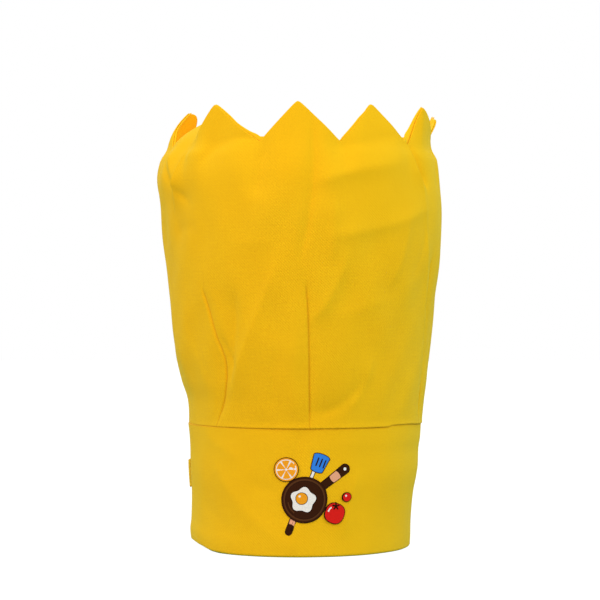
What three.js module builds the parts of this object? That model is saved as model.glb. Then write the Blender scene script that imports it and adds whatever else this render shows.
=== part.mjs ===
// A tall cotton chef hat with a pointed, crown-like top edge, in millimetres.
// +Z is up and the front faces -Y. The hat stands on the hem of its headband at z = 0.
// Angles are in degrees, from 0 at the front through 90 at the right (+X) to 180 at the back.
import * as THREE from "three";

// Driving dimensions
const BAND_HEIGHT = 89;
const BAND_WALL = 2.2;
const CLOTH_WALL = 1.2;
const FACING_WALL = 1.0;
const FACING_PEEK = 0.6; // how far the facing's turned edge stands above the crown's
const TAPE_WALL = 1.6;
const TAPE_FOOT = 41;
const TAPE_HEIGHT = 20;
const GAP = 0.3;
const TUCK = 9; // how far the crown's foot goes down inside the headband
const SEAM_RISE = 4; // the crown comes out over the headband's edge within this height
const VALLEY_Z = 285.5;
const TIP_Z = 312;
const LEAN_FROM = 281;
const LEAN_BEND = 1.4;
const FACING_FOOT = 252;
const PANEL_Z = 262;
const PANEL_SAG = 7;
const PANEL_FLANGE = 6;

// The headband is a strip whose ends lap at the back left. The under end starts past the back,
// and the strip runs round the front and comes back over it.
const UNDER_END = -185;
const OVER_END = 220;
const LAP_RISE_FROM = 156;
const LAP_RISE_TO = 172;
const TAPE_FROM = -171;
const TAPE_TO = -93;

// Mesh steps
const STEPS_PER_HALF_POINT = 3;
const BAND_STEPS = 72;
const TAPE_STEPS = 14;
const CROWN_LEVELS = [106, 122, 140, 158, 176, 196, 216, 236, FACING_FOOT, PANEL_Z];
const TIP_ROWS = [0.3, 0.62, 0.84, 1];
const PANEL_RINGS = [0.2, 0.5, 0.82];

// Half sizes of the headband's outer face: to the left, right, front and back of the middle.
const BAND_SECTIONS = [
  { z: 0, left: 77.2, right: 80.9, front: 100, back: 100 },
  { z: 22, left: 76.8, right: 81.4, front: 100, back: 100 },
  { z: 58, left: 78.4, right: 85.8, front: 102, back: 102 },
  { z: BAND_HEIGHT, left: 79.6, right: 87.9, front: 103, back: 103 },
];

// The same for the crown's outer face, above the headband.
const CROWN_SECTIONS = [
  { z: BAND_HEIGHT + SEAM_RISE, left: 79, right: 89.6, front: 104.6, back: 104.6 },
  { z: 105, left: 79.8, right: 90.4, front: 106, back: 106 },
  { z: 120, left: 84, right: 92, front: 108, back: 108 },
  { z: 141, left: 89, right: 93.6, front: 110.5, back: 110.5 },
  { z: 170, left: 92.2, right: 97, front: 113, back: 113 },
  { z: 213, left: 96.6, right: 102.6, front: 116.5, back: 116.5 },
  { z: 242, left: 99.2, right: 103.6, front: 118, back: 118 },
  { z: 264, left: 102.4, right: 102.4, front: 117, back: 117 },
  { z: 277, left: 100.2, right: 101, front: 114.5, back: 114.5 },
  { z: 286, left: 95.6, right: 97.2, front: 112, back: 112 },
  { z: 314, left: 94.4, right: 96, front: 110.5, back: 110.5 },
];

// The points of the top edge, from the front one round to the right. lean is how far a tip
// falls inwards, drop how much lower it ends, sway how many degrees it is off its middle, and
// notch how many degrees the valley after it is off its even place.
const POINT_SHAPES = [
  { lean: 1, drop: -1, sway: -0.8, notch: 1.9 },
  { lean: 1, drop: 1, sway: -2.8, notch: 4.4 },
  { lean: 1, drop: 0, sway: 3.2, notch: 0 },
  { lean: -2.5, drop: 3.2, sway: 0, notch: 0 },
  { lean: 2, drop: 0, sway: 1, notch: 1 },
  { lean: 5, drop: 1.5, sway: -1, notch: -1 },
  { lean: 2, drop: 0, sway: 0, notch: 0 },
  { lean: 8, drop: 3, sway: 1.5, notch: 1 },
  { lean: 2, drop: 0, sway: -1, notch: 0 },
  { lean: 12.5, drop: 1, sway: -1, notch: 0 },
  { lean: 22, drop: 12, sway: -2, notch: -4 },
  { lean: 0, drop: 1, sway: -4.8, notch: -0.5 },
];
const POINTS = POINT_SHAPES.length;

// Sewn darts that take in the crown above the headband: the angle of each at its foot, at its
// knee and at its top, the heights of the knee and the top, and the depth of its groove.
const DARTS = [
  { foot: 5.4, knee: 4.5, top: 3.3, kneeZ: 140, topZ: 188, depth: 2.2 },
  { foot: -46.4, knee: -35, top: -46, kneeZ: 124, topZ: 188, depth: 3.2 },
  { foot: 74, knee: 73, top: 70, kneeZ: 140, topZ: 205, depth: 1.8 },
  { foot: 122, knee: 123, top: 125, kneeZ: 140, topZ: 190, depth: 2.4 },
  { foot: -172, knee: -172, top: -172, kneeZ: 140, topZ: 195, depth: 2.4 },
  { foot: -132, knee: -131, top: -128, kneeZ: 140, topZ: 188, depth: 2.4 },
  { foot: -95, knee: -94, top: -92, kneeZ: 140, topZ: 186, depth: 2.4 },
];
const DART_WIDTH = 3.4;
const DART_FADE = 16;

// Soft swells (positive depth) and dents of the crown. wide is in degrees, tall in millimetres,
// and slant is how many degrees the middle moves for each millimetre up.
const SWELLS = [
  { angle: -30, z: 152, wide: 7, tall: 34, slant: 0.08, depth: -3.2 },
  { angle: -21, z: 158, wide: 6, tall: 50, slant: 0.27, depth: 2.4 },
  { angle: -66, z: 150, wide: 13, tall: 38, slant: 0, depth: 2 },
  { angle: 19, z: 156, wide: 8, tall: 26, slant: 0.1, depth: -2 },
  { angle: 18, z: 202, wide: 8, tall: 24, slant: 0.15, depth: 1.6 },
  { angle: 46, z: 150, wide: 12, tall: 44, slant: 0, depth: 1.6 },
  { angle: 98, z: 150, wide: 13, tall: 42, slant: 0, depth: 2 },
  { angle: 148, z: 150, wide: 14, tall: 42, slant: 0, depth: 2 },
  { angle: -152, z: 152, wide: 12, tall: 42, slant: 0, depth: 2 },
  { angle: -113, z: 150, wide: 11, tall: 42, slant: 0, depth: 1.8 },
];
// A soft crease runs down from each valley between two points.
const VALLEY_CREASE = { depth: 1.8, wide: 5, tall: 34 };

const { degToRad, euclideanModulo, lerp, smoothstep } = THREE.MathUtils;

// Smooth, never overshooting interpolation of one column of a table whose rows rise in z.
function readTable(rows, z, column) {
  const last = rows.length - 1;
  if (z <= rows[0].z) return rows[0][column];
  if (z >= rows[last].z) return rows[last][column];
  const i = rows.findIndex((row) => row.z > z) - 1;
  const slope = (k) =>
    (rows[k + 1][column] - rows[k][column]) / (rows[k + 1].z - rows[k].z);
  const tangent = (k) => {
    if (k === 0) return slope(0);
    if (k === last) return slope(last - 1);
    const [before, after] = [slope(k - 1), slope(k)];
    return before * after <= 0 ? 0 : (2 * before * after) / (before + after);
  };
  const span = rows[i + 1].z - rows[i].z;
  const t = (z - rows[i].z) / span;
  return (
    rows[i][column] * (2 * t ** 3 - 3 * t ** 2 + 1) +
    span * tangent(i) * (t ** 3 - 2 * t ** 2 + t) +
    rows[i + 1][column] * (3 * t ** 2 - 2 * t ** 3) +
    span * tangent(i + 1) * (t ** 3 - t ** 2)
  );
}

// The point of an oval section at an angle, moved outwards by that many millimetres.
function ovalPoint(rows, angle, z, outwards) {
  const [sine, cosine] = [Math.sin(degToRad(angle)), Math.cos(degToRad(angle))];
  const wide = readTable(rows, z, sine > 0 ? "right" : "left");
  const deep = readTable(rows, z, cosine > 0 ? "front" : "back");
  const normal = new THREE.Vector3(sine * deep, -cosine * wide, 0).normalize();
  return new THREE.Vector3(wide * sine, -deep * cosine, z).addScaledVector(
    normal,
    outwards,
  );
}

// The points of the rim with the angles where each starts, ends and has its tip. They are
// spaced evenly along the rim, apart from each one's notch.
function rimPoints() {
  const steps = 3600;
  const along = [0];
  let before = ovalPoint(CROWN_SECTIONS, 0, VALLEY_Z, 0);
  for (let i = 1; i <= steps; i++) {
    const here = ovalPoint(CROWN_SECTIONS, (360 * i) / steps, VALLEY_Z, 0);
    along.push(along[i - 1] + here.distanceTo(before));
    before = here;
  }
  const pitch = along[steps] / POINTS;
  const angleAt = (length) =>
    (360 * along.findIndex((reached) => reached >= length)) / steps;
  const ends = POINT_SHAPES.map(
    (shape, k) => angleAt((k + 0.5) * pitch) + shape.notch,
  );
  return POINT_SHAPES.map((shape, k) => {
    const from = k === 0 ? ends[POINTS - 1] - 360 : ends[k - 1];
    return { ...shape, from, to: ends[k], tip: (from + ends[k]) / 2 + shape.sway };
  });
}

const RIM = rimPoints();

// The point of the rim at an angle, the one on the other side of the nearer valley, and how far
// up its edge the angle is, from 0 to 1.
function rimAt(angle) {
  const wrapped = RIM[0].from + euclideanModulo(angle - RIM[0].from, 360);
  const k = RIM.findIndex((point) => wrapped < point.to);
  const point = RIM[k];
  const rising = wrapped < point.tip;
  const up = rising
    ? (wrapped - point.from) / (point.tip - point.from)
    : (point.to - wrapped) / (point.to - point.tip);
  const beside = RIM[(k + (rising ? POINTS - 1 : 1)) % POINTS];
  return { point, beside, up };
}

function rimHeight(angle) {
  const { point, up } = rimAt(angle);
  return VALLEY_Z + up * (TIP_Z - point.drop - VALLEY_Z);
}

// How far the cloth leans inwards. Two neighbours share their lean in the valley between them.
function leanAt(angle, z) {
  const { point, beside, up } = rimAt(angle);
  const own = 0.5 + 0.5 * smoothstep(up, 0, 0.35);
  const tipZ = TIP_Z - lerp(beside.drop, point.drop, own);
  const raised = Math.max(0, (z - LEAN_FROM) / (tipZ - LEAN_FROM));
  return lerp(beside.lean, point.lean, own) * raised ** LEAN_BEND;
}

// The signed turn from one angle to another, from -180 to 180 degrees.
function turn(from, to) {
  return euclideanModulo(to - from + 180, 360) - 180;
}

function bell(x) {
  return Math.exp(-x * x);
}

function dartRelief(angle, z) {
  return DARTS.reduce((sum, dart) => {
    const low = z < dart.kneeZ;
    const share = low
      ? (z - BAND_HEIGHT) / (dart.kneeZ - BAND_HEIGHT)
      : (z - dart.kneeZ) / (dart.topZ - dart.kneeZ);
    const line = low
      ? lerp(dart.foot, dart.knee, share)
      : lerp(dart.knee, dart.top, share);
    const fade = smoothstep(dart.topZ - z, -DART_FADE, DART_FADE);
    return sum - dart.depth * fade * bell(turn(line, angle) / DART_WIDTH);
  }, 0);
}

function swellRelief(angle, z) {
  return SWELLS.reduce((sum, swell) => {
    const middle = swell.angle + swell.slant * (z - swell.z);
    const across = turn(middle, angle) / swell.wide;
    const up = (z - swell.z) / swell.tall;
    return sum + swell.depth * bell(across) * bell(up);
  }, 0);
}

function creaseRelief(angle, z) {
  const near = bell((z - VALLEY_Z) / VALLEY_CREASE.tall);
  return RIM.reduce((sum, point) => {
    const across = turn(point.to, angle) / VALLEY_CREASE.wide;
    return sum - VALLEY_CREASE.depth * bell(across) * near;
  }, 0);
}

// A point of the crown's cloth: inset is how far it lies inside the outer face.
function crownPoint(angle, z, inset) {
  if (z <= BAND_HEIGHT + GAP)
    return ovalPoint(BAND_SECTIONS, angle, z, -BAND_WALL - GAP - inset);
  const settled = smoothstep(z, BAND_HEIGHT, BAND_HEIGHT + 14);
  const relief =
    dartRelief(angle, z) + swellRelief(angle, z) + creaseRelief(angle, z);
  const outwards = relief * settled - leanAt(angle, z) - inset;
  return ovalPoint(CROWN_SECTIONS, angle, z, outwards);
}

function closedGeometry(corners, faces) {
  const geometry = new THREE.BufferGeometry().setFromPoints(corners);
  geometry.setIndex(faces);
  geometry.computeVertexNormals();
  return geometry;
}

// One solid between two skins. Each skin is a list of columns of points that run up, and the
// columns go counterclockwise as seen from above. A strip that isn't a ring has closed ends.
function wallGeometry(outer, inner, ring) {
  const [columns, rows] = [outer.length, outer[0].length];
  const out = (c, r) => (c % columns) * rows + r;
  const inn = (c, r) => columns * rows + out(c, r);
  const faces = [];
  const quad = (a, b, c, d) => faces.push(a, b, c, a, c, d);
  const spans = ring ? columns : columns - 1;
  for (let c = 0; c < spans; c++) {
    for (let r = 0; r < rows - 1; r++) {
      quad(out(c, r), out(c + 1, r), out(c + 1, r + 1), out(c, r + 1));
      quad(inn(c, r), inn(c, r + 1), inn(c + 1, r + 1), inn(c + 1, r));
    }
    const top = rows - 1;
    quad(out(c, top), out(c + 1, top), inn(c + 1, top), inn(c, top));
    quad(out(c, 0), inn(c, 0), inn(c + 1, 0), out(c + 1, 0));
  }
  if (!ring) {
    const end = columns - 1;
    for (let r = 0; r < rows - 1; r++) {
      quad(out(0, r), out(0, r + 1), inn(0, r + 1), inn(0, r));
      quad(out(end, r), inn(end, r), inn(end, r + 1), out(end, r + 1));
    }
  }
  return closedGeometry([...outer.flat(), ...inner.flat()], faces);
}

// A closed disc-like solid. Each column runs from beside the upper middle out to the edge,
// round it and back to beside the lower middle.
function discGeometry(columns, upperMiddle, lowerMiddle) {
  const rows = columns[0].length;
  const at = (c, r) => (c % columns.length) * rows + r;
  const upper = columns.length * rows;
  const faces = [];
  for (let c = 0; c < columns.length; c++) {
    for (let r = 0; r < rows - 1; r++) {
      const [a, b] = [at(c, r), at(c, r + 1)];
      const [d, e] = [at(c + 1, r), at(c + 1, r + 1)];
      faces.push(a, b, e, a, e, d);
    }
    faces.push(upper, at(c, 0), at(c + 1, 0));
    faces.push(upper + 1, at(c + 1, rows - 1), at(c, rows - 1));
  }
  return closedGeometry([...columns.flat(), upperMiddle, lowerMiddle], faces);
}

// Column angles that meet every valley and every tip.
const COLUMNS = RIM.flatMap((point) => {
  const shares = Array.from(
    { length: STEPS_PER_HALF_POINT },
    (_, j) => j / STEPS_PER_HALF_POINT,
  );
  return [
    ...shares.map((share) => lerp(point.from, point.tip, share)),
    ...shares.map((share) => lerp(point.tip, point.to, share)),
  ];
});

// The rows' heights at one angle: level up to the last level, then rising with the pointed edge.
function rowHeights(levels, angle) {
  const shoulder = levels[levels.length - 1];
  const rise = rimHeight(angle) - shoulder;
  return [...levels, ...TIP_ROWS.map((share) => shoulder + share * rise)];
}

function crownGeometry() {
  const seam = [BAND_HEIGHT - TUCK, BAND_HEIGHT + GAP, BAND_HEIGHT + SEAM_RISE];
  const levels = [...seam, ...CROWN_LEVELS];
  const skin = (inset) =>
    COLUMNS.map((angle) =>
      rowHeights(levels, angle).map((z) => crownPoint(angle, z, inset)),
    );
  return wallGeometry(skin(0), skin(CLOTH_WALL), true);
}

// The second layer inside the points, turned at the edge and a little proud of it.
function facingGeometry() {
  const skin = (inset) =>
    COLUMNS.map((angle) => {
      const heights = rowHeights([FACING_FOOT, PANEL_Z], angle);
      const column = heights.map((z) => crownPoint(angle, z, inset));
      const rim = column[column.length - 1].clone();
      rim.z += FACING_PEEK;
      return [...column, rim];
    });
  const inset = CLOTH_WALL + GAP;
  return wallGeometry(skin(inset), skin(inset + FACING_WALL), true);
}

// The round panel that closes the crown, a shallow dish with its edge turned down.
function panelGeometry() {
  const inset = CLOTH_WALL + GAP + FACING_WALL + GAP;
  const foot = PANEL_Z - PANEL_FLANGE;
  const dishZ = (share) => PANEL_Z - PANEL_SAG * (1 - share ** 2);
  const columns = COLUMNS.filter((_, i) => i % 2 === 0).map((angle) => {
    const edge = crownPoint(angle, PANEL_Z, inset);
    const ring = (share, z) => new THREE.Vector3(edge.x * share, edge.y * share, z);
    const innerEdge = crownPoint(angle, PANEL_Z, inset + CLOTH_WALL);
    innerEdge.z -= CLOTH_WALL;
    return [
      ...PANEL_RINGS.map((share) => ring(share, dishZ(share))),
      edge,
      crownPoint(angle, foot, inset),
      crownPoint(angle, foot, inset + CLOTH_WALL),
      innerEdge,
      ...[...PANEL_RINGS].reverse().map((share) => ring(share, dishZ(share) - CLOTH_WALL)),
    ];
  });
  const middle = (z) => new THREE.Vector3(0, 0, z);
  return discGeometry(columns, middle(dishZ(0)), middle(dishZ(0) - CLOTH_WALL));
}

// How far the headband's strip has risen over its own under end.
function lapRise(angle) {
  const full = BAND_WALL + TAPE_WALL + 2 * GAP;
  return full * smoothstep(angle, LAP_RISE_FROM, LAP_RISE_TO);
}

// A strip that follows the headband, from one angle to another and through the given heights.
// outside and inside are how far its two faces lie out from the headband's own outer face.
function stripGeometry({ from, to, steps, heights, outside, inside }) {
  const skin = (outwards) =>
    Array.from({ length: steps + 1 }, (_, i) => {
      const angle = lerp(from, to, i / steps);
      const rise = lapRise(angle) + outwards;
      return heights.map((z) => ovalPoint(BAND_SECTIONS, angle, z, rise));
    });
  return wallGeometry(skin(outside), skin(inside), false);
}

function bandGeometry() {
  return stripGeometry({
    from: UNDER_END,
    to: OVER_END,
    steps: BAND_STEPS,
    heights: BAND_SECTIONS.map((row) => row.z),
    outside: 0,
    inside: -BAND_WALL,
  });
}

function tapeGeometry() {
  return stripGeometry({
    from: TAPE_FROM,
    to: TAPE_TO,
    steps: TAPE_STEPS,
    heights: [TAPE_FOOT, TAPE_FOOT + TAPE_HEIGHT],
    outside: GAP + TAPE_WALL,
    inside: GAP,
  });
}

function piece(name, geometry, colour) {
  const material = new THREE.MeshStandardMaterial({
    color: colour,
    roughness: 0.92,
    metalness: 0,
  });
  const mesh = new THREE.Mesh(geometry, material);
  mesh.name = name;
  return mesh;
}

const CLOTH_YELLOW = 0xecb418;
const LINING_YELLOW = 0xf0aa14;
const TAPE_YELLOW = 0xd8b440;

const hat = new THREE.Group();
hat.add(piece("headband", bandGeometry(), CLOTH_YELLOW));
hat.add(piece("crown", crownGeometry(), CLOTH_YELLOW));
hat.add(piece("point_facing", facingGeometry(), LINING_YELLOW));
hat.add(piece("top_panel", panelGeometry(), LINING_YELLOW));
hat.add(piece("closure_tape", tapeGeometry(), TAPE_YELLOW));

export default hat;
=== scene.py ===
# A tall yellow chef hat with a pointed, crown-like top edge, standing on its headband's hem.
# Shapes are worked out in millimetres and degrees, and meshes are stored in metres. +Z is up and
# the front faces -Y. Angles run from 0 at the front through 90 at the right (+X) to 180 behind.
import math

import bpy
import numpy as np
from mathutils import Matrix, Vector
from mathutils.geometry import delaunay_2d_cdt


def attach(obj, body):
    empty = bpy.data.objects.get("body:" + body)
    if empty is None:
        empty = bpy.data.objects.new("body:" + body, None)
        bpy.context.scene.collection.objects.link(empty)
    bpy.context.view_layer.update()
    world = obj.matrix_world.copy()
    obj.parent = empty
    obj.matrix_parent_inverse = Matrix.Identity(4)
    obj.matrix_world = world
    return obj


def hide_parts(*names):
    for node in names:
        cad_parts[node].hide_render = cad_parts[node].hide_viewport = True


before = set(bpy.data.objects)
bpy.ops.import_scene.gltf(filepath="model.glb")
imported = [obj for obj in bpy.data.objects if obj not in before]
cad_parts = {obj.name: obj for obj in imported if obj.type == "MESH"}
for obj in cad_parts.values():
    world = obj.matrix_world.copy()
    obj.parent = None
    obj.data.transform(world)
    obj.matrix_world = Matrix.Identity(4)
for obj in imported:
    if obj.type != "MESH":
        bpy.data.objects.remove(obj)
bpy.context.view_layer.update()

MM = 0.001


def table(columns, *rows):
    """Rows of numbers as one named array for each column."""
    return dict(zip(columns.split(), np.array(rows, float).T))


# Sizes of the construction
BAND_HEIGHT = 89
BAND_WALL = 2.2
CLOTH_WALL = 1.0
FACING_WALL = 0.9
TAPE_WALL = 1.6
TAPE_FOOT = 41
TAPE_HEIGHT = 20
GAP = 0.3
TUCK = 9
VALLEY_Z = 285.5
TIP_Z = 312
LEAN_FROM = 281
LEAN_SHARED = 0.35
TWIST_FULL = 0.5
FACING_FOOT = 252
PANEL_Z = 262
PANEL_SAG = 7
PANEL_FLANGE = 6
UNDER_END = -185
OVER_END = 220
LAP_RISE_FROM = 156
LAP_RISE_TO = 172
TAPE_FROM = -171
TAPE_TO = -93

# Half sizes of the outer faces: to the left, right, front and back of the middle
BAND_SECTIONS = table(
    "z left right front back",
    (0, 77.4, 80.5, 100, 100),
    (8, 78.0, 80.9, 100, 100),
    (16, 77.2, 81.0, 100, 100),
    (30, 77.0, 81.9, 100.4, 100.4),
    (40, 77.2, 83.1, 101, 101),
    (50, 77.9, 85.1, 101.6, 101.6),
    (59, 78.3, 86.3, 102, 102),
    (70, 78.4, 86.5, 102.4, 102.4),
    (79, 78.8, 87.7, 102.8, 102.8),
    (BAND_HEIGHT, 79.8, 88.3, 103, 103),
)
CROWN_SECTIONS = table(
    "z left right front back",
    (93, 79.2, 89.4, 103.9, 103.9),
    (105, 79.8, 90.4, 106, 106),
    (120, 84, 92, 108, 108),
    (141, 89, 93.6, 110.5, 110.5),
    (170, 92.2, 97, 113, 113),
    (213, 96.6, 102.6, 116.5, 116.5),
    (242, 99.2, 103.6, 118, 118),
    (264, 102.4, 102.4, 117, 117),
    (277, 100.2, 101, 115, 114.5),
    (286, 95.6, 97.2, 113, 112),
    (314, 94.4, 96, 108.5, 110.5),
)

# The points of the top edge, from the front one round to the right. lean is how far a tip falls
# inwards, bend how late it does so, twist how much more its left side does, and drop how much
# lower it ends. sway is how many degrees a tip is off its middle and notch how many the valley
# after it is off its even place. rise_bow and fall_bow swell its two edges, and blunt rounds it.
POINT_SHAPES = table(
    "lean bend twist drop sway notch rise_bow fall_bow blunt",
    (1, 1.4, 0, -1, -0.8, 1.9, 0, 0, 0.05),
    (5, 1.4, 0, -0.2, -0.6, 4.4, 0, 0, 0.05),
    (-3, 1, 18, -0.5, -7, 13, -0.4, -0.1, 0.2),
    (-6, 1.8, 0, 4, 6, 0, 0.15, 0.3, 0.4),
    (-3, 1.4, 0, 4, -8, 1, 0, 0, 0.05),
    (5, 1.4, 0, 1.5, -1, -1, 0.03, -0.03, 0.05),
    (2, 1.4, 0, 0, 0, 0, 0, 0, 0.05),
    (8, 1.4, 0, 6, 1.5, 1, -0.04, 0.04, 0.05),
    (3, 1.4, 0, 11, 6, 0, 0, 0, 0.05),
    (13.5, 2.2, 31, 0.8, -1, 0, 0.05, 0.16, 0.2),
    (18, 2, 0, 9.6, -1.4, -4, 0, 0, 0.08),
    (0, 1.4, 0, 0, -3.3, -0.5, -0.03, -0.05, 0.07),
)
POINTS = len(POINT_SHAPES["lean"])

# Where the second layer stands above the crown's edge, by angle, and the painted shade at its foot
FACING_PEEK = 0.3
PEEK_SHADE = {"from": 0.9, "to": 2.4, "up": 0.1, "wide": 0.55}
PEEKS = table(
    "z angle",
    (0, -180), (0, -37), (1.0, -30), (0.7, -27), (1.3, -24), (2, -21), (3, -19), (3.6, -17),
    (0, -15), (0, 17), (1.2, 18.5), (1.2, 27), (0, 30), (0, 50.5), (5.2, 51.5), (6.4, 55),
    (3.0, 60), (0.2, 63), (0, 66), (0, 180),
)

# Sewn darts: the line of each as angles at rising heights. depth is its soft dent, groove the
# sewn line itself and lip the cloth that swells on its left. DART_END is where below the top
# of the line the groove starts and is whole.
DART_LINES = [
    table("z angle", (89, 5), (140, 4.5), (174, 3.7), (186, 3)),
    table(
        "z angle",
        (89, -46.5), (102, -42.5), (114, -39), (124, -37), (134, -36.5), (152, -39.5),
        (172, -43), (183, -45),
    ),
    table("z angle", (89, 74), (140, 73), (205, 70)),
    table("z angle", (89, 122), (140, 123), (190, 125)),
    table("z angle", (89, -172), (140, -172), (195, -172)),
    table("z angle", (89, -132), (140, -131), (188, -128)),
    table("z angle", (89, -95), (140, -94), (186, -92)),
]
DARTS = table(
    "depth groove lip",
    (1.2, 0.7, 0.3),
    (1.2, 0.7, 0.3),
    (1.6, 0.7, 0.2),
    *[(2.2, 0.9, 0.3)] * 4,
)
DART_WIDE = 6.0
DART_FADE = 16
DART_END = (-3, 4)
# DART_SHADE is how wide the painted shade along each dart's sewn line is
DART_SHADE = 0.6
GROOVE = {"wide": 0.75, "flare": 0.9, "flare_tall": 14}
LIP = {"off": 2.4, "wide": 1.5}
PUCKER = {"height": 0.16, "pitch": 6.3, "drift": 1.7, "drift_pitch": 9.1, "off": 3.2, "wide": 3}

# Where one point's cloth lies over the next one's: the line of its edge, how far it stands out
# there, on the left side for a negative height, the gap beside it, and the painted shade in it
OVERLAP_LINES = [
    table(
        "z angle",
        (236, -63), (250, -61), (262, -58.5), (275, -56), (284, -53.5), (290, -52),
        (300, -51.5),
    ),
    table("z angle", (240, 64), (251, 61), (259, 58), (269, 54.5), (276, 53), (292, 51.5)),
]
OVERLAPS = table("height gap fade_from fade_to", (3.8, 1.6, 236, 264), (-2.4, 1.0, 244, 268))
OVERLAP_LONG = 13
OVERLAP_EDGE = (-0.4, 0.5)
OVERLAP_GAP = {"off": 0.5, "wide": 0.6}
OVERLAP_SHADE = {"depth": 1.4, "from": 264, "to": 282, "off": 0.2, "wide": 0.7}
OVERLAP_STEPS = (-2.6, -1.4, -0.7, -0.3, 0, 0.3, 0.7, 1.4, 2.6)

# Soft swells (positive depth) and dents. wide is in degrees and tall in millimetres.
SWELLS = table(
    "angle z wide tall depth",
    (-66, 150, 13, 38, 2),
    (98, 150, 13, 42, 2),
    (148, 150, 14, 42, 2),
    (-152, 152, 12, 42, 2),
    (-113, 150, 11, 42, 1.8),
    (-60, 290, 8, 20, -6),
    (92, 292, 16, 8, -2.4),
)
VALLEY_CREASE = {"depth": 1.8, "wide": 5, "tall": 34}

# Folds of the crown's cloth, from the left end of each to the right one. bow lifts its middle,
# above and below are its widths on the two sides and height is how far it stands out.
FOLDS = table(
    "from_angle from_z to_angle to_z bow above below height",
    # Long creases that rise to the right
    (4, 256, 45, 273, 2, 13, 9, 2.4),
    (12, 280, 48, 292, 0, 8, 8, -1.4),
    (10, 219, 62, 242, -2, 12, 7, 1.6),
    (15, 164, 44, 179, 2, 8, 13, 0.8),
    # The groove above the middle dart and the swell on its right
    (1, 206, 6, 300, -3, 6, 7, -2.7),
    (13, 204, 14, 246, 0, 8, 8, 1.4),
    # Under the left points
    (-42, 272, -17, 287, 7, 9, 4, -1.6),
    (-52, 279, -40, 280, 0, 8, 15, 2.0),
    (-17, 248, -14, 284, 0, 8, 8, -1.7),
    (-62, 225, -46, 229, 0, 7, 9, -0.9),
    (-28, 216, -10, 217, 0, 6, 9, 0.5),
    # The long ridge that leans left, and the hollow between it and the left dart
    (-34, 115, -9, 203, -2, 5, 14, 2.2),
    (-34, 120, -28.5, 184, -2, 12, 5, -2.6),
    (-37, 152, -30, 127, 0, 2.5, 3, -0.9),
    (-47, 186, -40, 143, 0, 4, 4, 0.5),
    (-58, 165, -46, 118, 0, 12, 12, -0.9),
    # The leaf beside the middle dart
    (5, 161, 19, 208, -4, 7, 6, 1.4),
    # Beside the foot of the middle dart
    (6, 97, 30, 121, -4, 9, 9, -1.8),
    (23, 101, 33, 137, -3, 8, 7, 1.4),
    (-14, 100, -10, 142, 0, 9, 9, -1.2),
    (-3, 100, -3, 150, 0, 8, 8, 0.8),
    # The right side
    (38, 184, 48, 236, -4, 10, 11, 1.3),
    (52, 190, 62, 235, -3, 12, 10, -1.1),
    (75, 105, 58, 254, 0, 3, 3, 1.0),
    (54, 286, 62, 256, 0, 7, 3, -3.6),
    (74, 256, 78, 290, 0, 3, 2, -1.5),
    # The left side
    (-75, 281, -50, 245, -3, 5, 4, -2.2),
    (-70, 284, -57, 250, 0, 9, 4, 2),
)

# Softer folds of the headband, in the same way
BAND_FOLDS = table(
    "from_angle from_z to_angle to_z bow above below height",
    (-48, 61, -6, 8, -3, 12, 14, 1.1),
    (-62, 36, -34, 14, 0, 14, 14, -0.6),
    (-27, 50, -10, 44, 0, 9, 9, -0.7),
    (-56, 84, -30, 66, 0, 9, 9, 0.7),
    (22, 14, 29, 58, 0, 10, 9, 1.3),
    (-3, 2, -3, 26, 0, 8, 8, 0.8),
    (-2, 58, 1, 88, 0, 8, 8, -0.9),
)

# A fold's section, and how it fades at its ends as a share of its length
CREST = {"steep": 1.5, "round": 0.25}
FOLD_END = (-0.12, 0.25)

# Seeded unevenness. Its waves are counted round the hat, and its pitches are shares of tall.
CROWN_RIPPLES = {"seed": 11, "count": 30, "tall": 70, "size": 0.3}
BAND_RIPPLES = {"seed": 23, "count": 24, "tall": 90, "size": 0.12}
PANEL_RIPPLES = {"seed": 31, "count": 16, "tall": 60, "size": 0.5}
PANEL_RIPPLE_RISE = 9
RIPPLE_WAVES = (2, 22)
RIPPLE_PITCHES = (0.6, 2.4)

# How far the headband's hem is lifted off the surface, by angle
HEM_LIFTS = table(
    "z angle",
    (0, -180), (0, -140), (4.6, -110), (4.8, -78), (4.2, -70), (3.0, -62), (1.2, -55),
    (0.5, -48), (0, -38), (0, 180),
)
HEM_LIFT_TALL = 55

# The seam above the headband, the painted shade along it, and the rolled edges
SEAM_RADIUS = 0.5
BAND_RADIUS = 0.4
HEM_RADIUS = 1.3
EDGE_ROUND = 0.35
SEAM_BASE = -0.6
SEAM_SETTLE = 14
SEAM_FADE = {"above": 40, "below": 30}
SEAM_SHADE = 0.6
SEAM_STEP = {"height": 1.0, "from": 44.4, "to": 48, "back_from": 60, "back_to": 78}

# Mesh steps: counts for each side of a point, offsets in millimetres, and rows by height
FRONT_STEPS = 18
REAR_STEPS = 8
FINE_SIDE = 112
DART_STEPS = (-4.4, -2.9, -1.9, -1.2, -0.65, -0.25, 0, 0.25, 0.65, 1.2, 1.9, 2.9, 4.4)
COLUMN_CLEAR = 0.7
DART_FOLLOW = {"tall": 55, "wide": 14}
OVERLAP_FOLLOW = {"tall": 25, "wide": 9}
TUCKED_ROWS = (TUCK, 4, 0.4)
SEAM_ROWS = (0.05, 0.4, 0.9, 1.5, 2.4, 3.6, 5.2, 7.2, 9.5)
LEVEL_FROM = 12
LEVEL_STEP = 2.5
TIP_ROWS = 18
TIP_CLOSER = 1.4
FACING_ROWS = 5
FACING_TIP_ROWS = 22
PANEL_COLUMNS = 144
PANEL_RINGS = 34
BAND_STEP = 1.25
BAND_CLOSE_STEP = 0.5
BAND_EDGE_ROWS = (0.0, 0.15, 0.5, 1.1, 2, 3.3, 5)
BAND_ROWS_FROM = 7
BAND_ROWS = 35
TAPE_COLUMNS = 70
TAPE_ROWS = 15


def smooth(x, low, high):
    t = np.clip((x - low) / (high - low), 0, 1)
    return t * t * (3 - 2 * t)


def bell(x):
    return np.exp(-x * x)


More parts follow.
